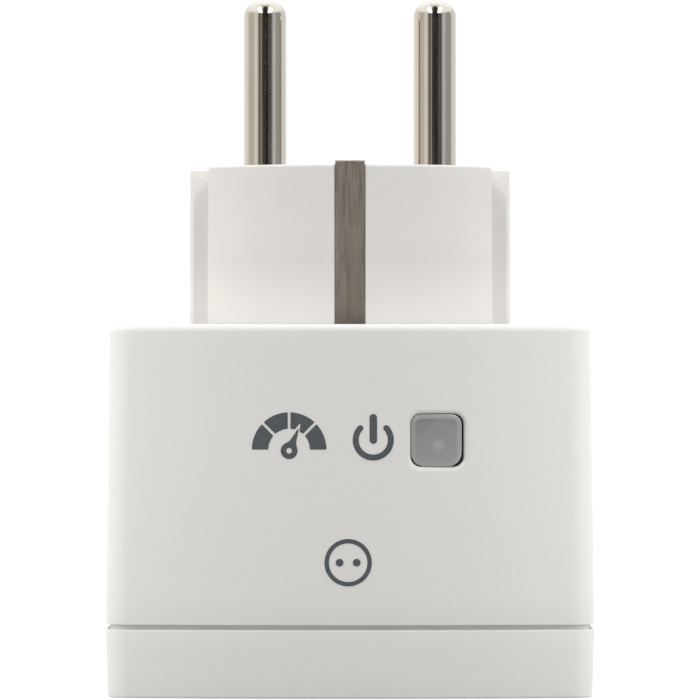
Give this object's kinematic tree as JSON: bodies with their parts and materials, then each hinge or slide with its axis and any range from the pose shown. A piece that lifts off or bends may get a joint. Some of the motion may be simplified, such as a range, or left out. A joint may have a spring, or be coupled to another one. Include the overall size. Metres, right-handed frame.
{
  "type": "plug in power meter",
  "caption": "Plug-through power meter: grounded round-pin plug above a square white housing with a grey push button, and a shuttered recessed socket below.",
  "frame": {"origin": "centre of the socket rim, on the plane that the adapter stands on", "axes": "+Z from the socket rim to the plug pins, -Y is the front with the button, the pins lie on X"},
  "size_m": [0.053, 0.0544, 0.0768],
  "materials": {
    "shell_white": "fine satin moulded",
    "socket_white": "satin moulded",
    "button_grey": "translucent satin",
    "carrier_grey": "satin moulded",
    "pin_nickel": "polished nickel plate",
    "earth_strip": "rolled, brushed along its length",
    "contact_brass": "stamped",
    "copper": "rolled strip and enamelled wire",
    "iron": "zinc plated",
    "screw_steel": "bright zinc",
    "laminate": "solder resist over glass laminate",
    "black_plastic": "moulded",
    "relay_blue": "moulded",
    "yellow_film": "glossy case and tape",
    "ceramic_blue": "dipped coating",
    "led_white": "clear lens on white base"
  },
  "bodies": {
    "casing": {"carrier_screw_1": "screw_steel", "carrier_screw_2": "screw_steel", "contact_carrier": "carrier_grey", "control_board": "laminate", "earth_bridge": "earth_strip", "electrolytic_capacitor": "black_plastic", "film_capacitor": "yellow_film", "fusible_resistor": "ceramic_blue", "indicator_led": "led_white", "line_contact": "contact_brass", "line_pin": "pin_nickel", "line_pin_strip": "copper", "main_board": "laminate", "main_housing": "shell_white", "metering_chip": "black_plastic", "neutral_contact": "contact_brass", "neutral_pin": "pin_nickel", "neutral_pin_strip": "copper", "plug_earth_clip_front": "earth_strip", "plug_earth_clip_rear": "earth_strip", "plug_neck": "shell_white", "power_inductor": "copper", "push_switch_body": "black_plastic", "radio_board": "laminate", "radio_shield": "iron", "rectifier": "black_plastic", "relay_base": "black_plastic", "relay_coil": "copper", "relay_core": "iron", "relay_cover": "relay_blue", "relay_fixed_contact": "contact_brass", "relay_yoke": "iron", "shunt_resistor": "copper", "shutter_spring": "iron", "socket_earth_spring_front": "earth_strip", "socket_earth_spring_rear": "earth_strip", "socket_ring": "shell_white", "socket_screw_1": "screw_steel", "socket_screw_2": "screw_steel", "socket_screw_3": "screw_steel", "socket_screw_4": "screw_steel", "socket_well": "socket_white", "supply_transformer": "yellow_film", "varistor": "ceramic_blue"},
    "button": {"button_cap": "button_grey"},
    "switch_plunger": {"push_switch_plunger": "socket_white"},
    "shutter": {"shutter_disc": "socket_white"},
    "armature": {"relay_armature": "iron", "relay_contact_spring": "contact_brass"}
  },
  "joints": [
    {"name": "button_press", "type": "slide", "parent": "casing", "child": "button", "axis": [0, 1, 0], "range_m": [0, 0.0004], "stiffness_N_per_m": 900},
    {"name": "plunger_press", "type": "slide", "parent": "casing", "child": "switch_plunger", "axis": [0, 1, 0], "range_m": [0, 0.0004]},
    {"name": "shutter_turn", "type": "hinge", "parent": "casing", "child": "shutter", "pos_m": [0, 0, 0.0204], "axis": [0, 0, 1], "range_deg": [0, 35], "stiffness_Nm_per_rad": 0.006},
    {"name": "armature_swing", "type": "hinge", "parent": "casing", "child": "armature", "pos_m": [0, 0.0095, 0.0461], "axis": [1, 0, 0], "range_deg": [0, 3.5], "stiffness_Nm_per_rad": 0.05, "springref_deg": -1.15}
  ],
  "couplings": [
    {"joint": "plunger_press", "follows": "button_press", "ratio": 1}
  ]
}
